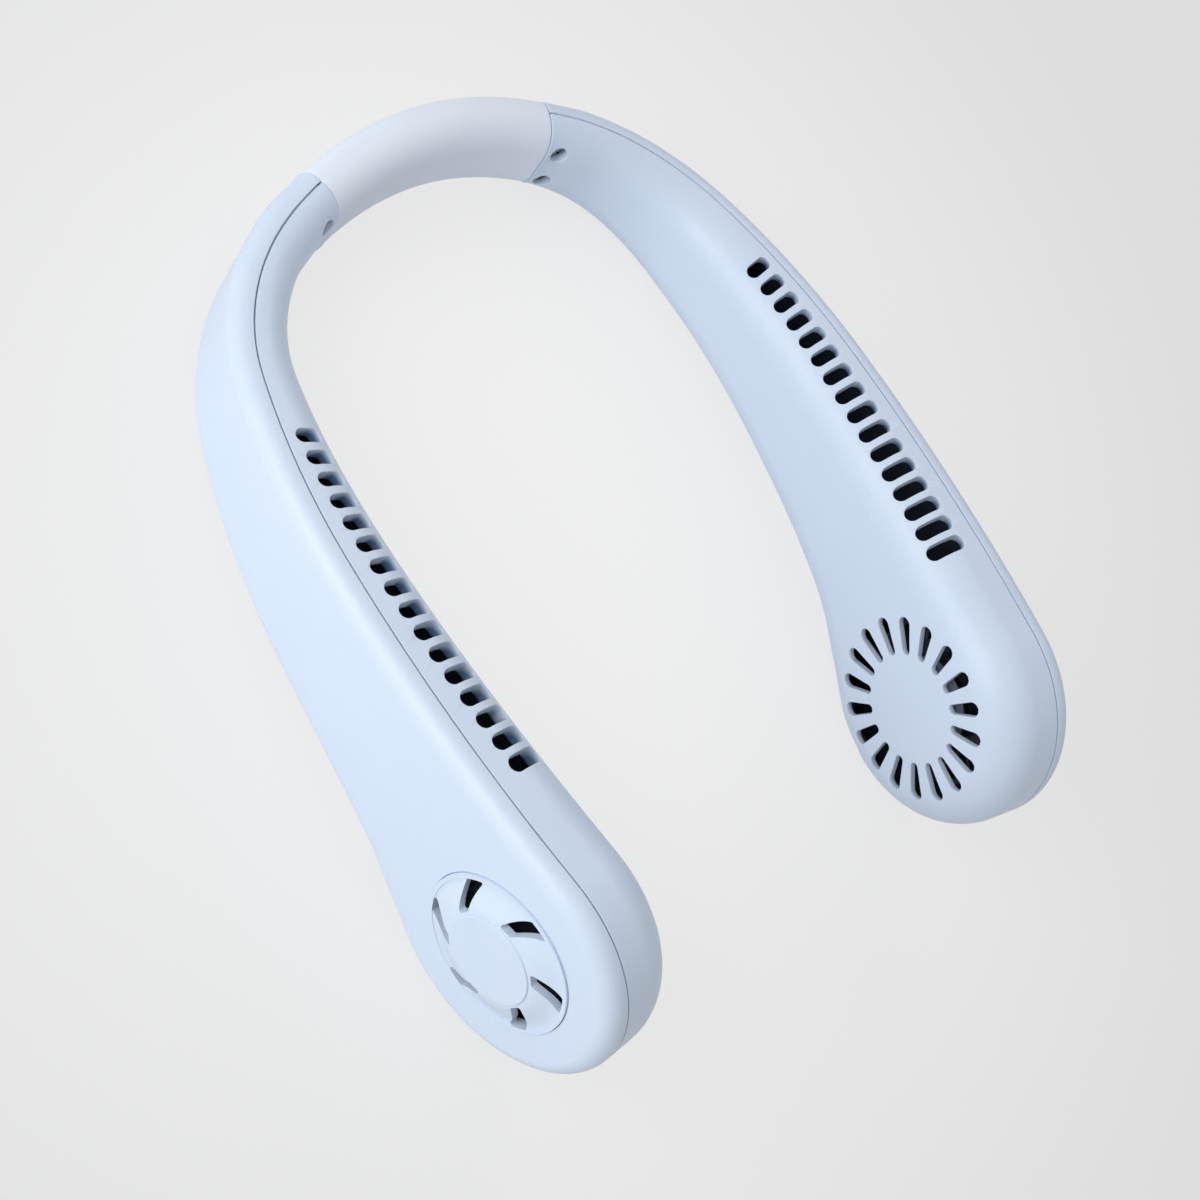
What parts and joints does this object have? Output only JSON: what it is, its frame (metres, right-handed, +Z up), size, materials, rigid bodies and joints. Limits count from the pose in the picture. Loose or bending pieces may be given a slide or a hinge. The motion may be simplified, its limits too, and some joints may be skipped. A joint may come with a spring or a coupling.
{
  "type": "neck fan",
  "caption": "Wearable neck fan: curved arms on a soft neck band, with blowers behind swirl covers in the bulb ends and air vents along the arms.",
  "frame": {"origin": "middle of the fan's box, on the table that it lies on", "axes": "+X to the wearer's right, +Y towards the back of the neck, +Z up from the table"},
  "size_m": [0.1788, 0.2234, 0.0672],
  "materials": {
    "shell": "satin moulded plastic",
    "cover": "satin moulded plastic",
    "button": "satin moulded plastic",
    "sleeve": "soft silicone",
    "duct": "dark moulded plastic",
    "wheel": "dark moulded plastic",
    "screw": "bright steel",
    "steel": "bare steel",
    "magnet": "dark ferrite",
    "bronze": "sintered bronze",
    "copper": "enamelled copper wire",
    "cell": "foil pouch",
    "foam": "foam strip",
    "board": "green circuit board",
    "socket": "stamped steel",
    "switch": "black plastic",
    "lamp": "clear plastic",
    "cable": "insulated cable"
  },
  "bodies": {
    "neck_band": {"neck_sleeve": "sleeve", "spring_strip": "steel", "band_cable": "cable"},
    "left_arm": {"left_outer_shell": "shell", "left_inner_shell": "shell", "left_swirl_cover": "cover", "left_air_duct": "duct", "left_end_plug": "duct", "left_neck_screws": "screw", "left_battery_cell": "cell", "left_battery_pad": "foam", "left_motor_base": "steel", "left_motor_screws": "screw", "left_bearing": "bronze", "left_stator_core": "steel", "left_windings": "copper"},
    "left_blower": {"left_impeller": "wheel", "left_rotor_can": "steel", "left_magnet_ring": "magnet", "left_shaft": "steel"},
    "right_arm": {"right_outer_shell": "shell", "right_inner_shell": "shell", "right_swirl_cover": "cover", "right_air_duct": "duct", "right_end_plug": "duct", "right_neck_screws": "screw", "right_battery_cell": "cell", "right_battery_pad": "foam", "right_motor_base": "steel", "right_motor_screws": "screw", "right_bearing": "bronze", "right_stator_core": "steel", "right_windings": "copper", "circuit_board": "board", "board_screws": "screw", "charging_socket": "socket", "push_switch": "switch", "status_led": "lamp", "light_pipe": "lamp"},
    "right_blower": {"right_impeller": "wheel", "right_rotor_can": "steel", "right_magnet_ring": "magnet", "right_shaft": "steel"},
    "power_button": {"power_button": "button"}
  },
  "joints": [
    {"name": "right_arm_bend", "type": "hinge", "parent": "neck_band", "child": "right_arm", "pos_m": [0.01809, 0.09896, 0.01616], "axis": [0, 0.2529, 0.9675], "range_deg": [-10, 35], "stiffness_Nm_per_rad": 1.2, "deforming": ["neck_sleeve", "spring_strip", "band_cable"]},
    {"name": "right_blower_spin", "type": "hinge", "parent": "right_arm", "child": "right_blower", "pos_m": [0.07495, -0.07778, 0.0336], "axis": [0.9916, -0.125, 0.033], "continuous": true},
    {"name": "left_arm_bend", "type": "hinge", "parent": "neck_band", "child": "left_arm", "pos_m": [-0.01809, 0.09896, 0.01616], "axis": [0, -0.2529, -0.9675], "range_deg": [-10, 35], "stiffness_Nm_per_rad": 1.2, "deforming": ["neck_sleeve", "spring_strip", "band_cable"]},
    {"name": "left_blower_spin", "type": "hinge", "parent": "left_arm", "child": "left_blower", "pos_m": [-0.07495, -0.07778, 0.0336], "axis": [-0.9916, -0.125, 0.033], "continuous": true},
    {"name": "power_button_press", "type": "slide", "parent": "right_arm", "child": "power_button", "axis": [-0.9944, -0.102, 0.027], "range_m": [0, 0.0005], "stiffness_N_per_m": 1200}
  ]
}
